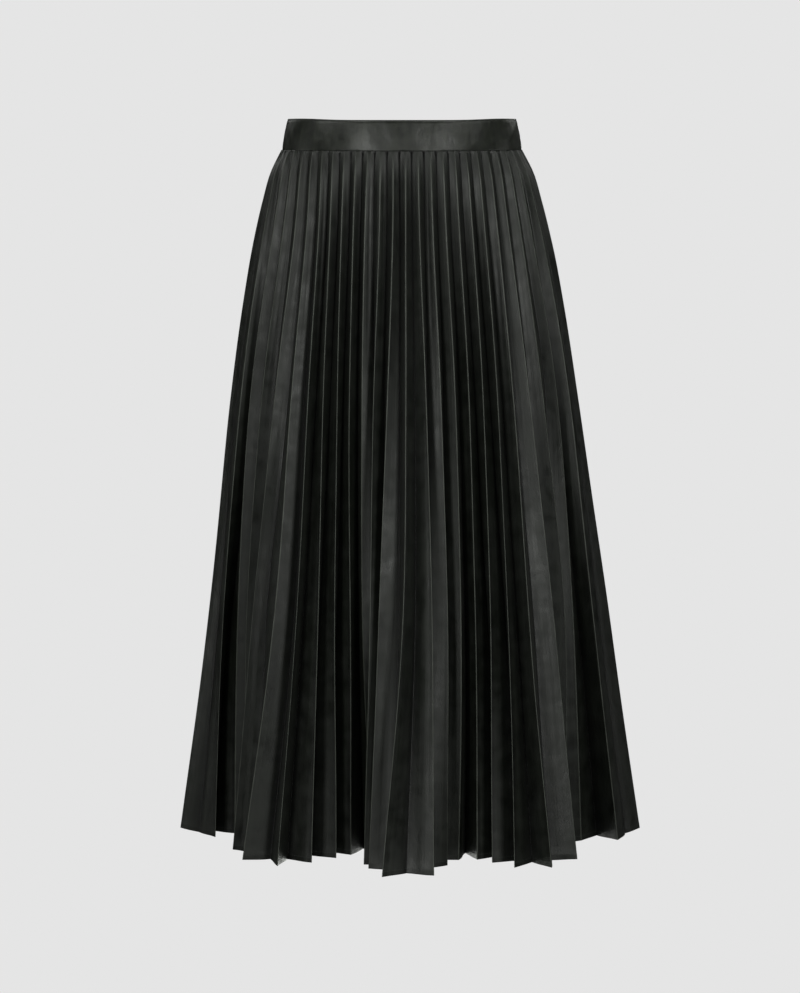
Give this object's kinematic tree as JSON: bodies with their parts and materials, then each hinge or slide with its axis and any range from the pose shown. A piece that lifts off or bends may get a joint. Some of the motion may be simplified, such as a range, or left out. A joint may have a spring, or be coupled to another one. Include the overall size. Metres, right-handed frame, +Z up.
{
  "type": "pleated maxi skirt",
  "caption": "Worn-form pleated satin skirt, hollow and open at waist and hem, with a smooth front waistband, a gathered elastic back waistband and two accordion-pleated panels.",
  "frame": {"origin": "middle of the waistband's ring, at half its height, where the wearer's waist holds it", "axes": "+Z up the wearer, front faces -Y, +X to the viewer's right from the front"},
  "size_m": [0.5787, 0.4237, 0.8829],
  "materials": {
    "panel_satin": "charcoal satin with pressed pleats",
    "band_satin": "charcoal satin, faced waistband"
  },
  "bodies": {
    "root": {"front_panel": "panel_satin", "back_panel": "panel_satin", "waistband_front": "band_satin", "waistband_back": "band_satin"}
  },
  "joints": []
}
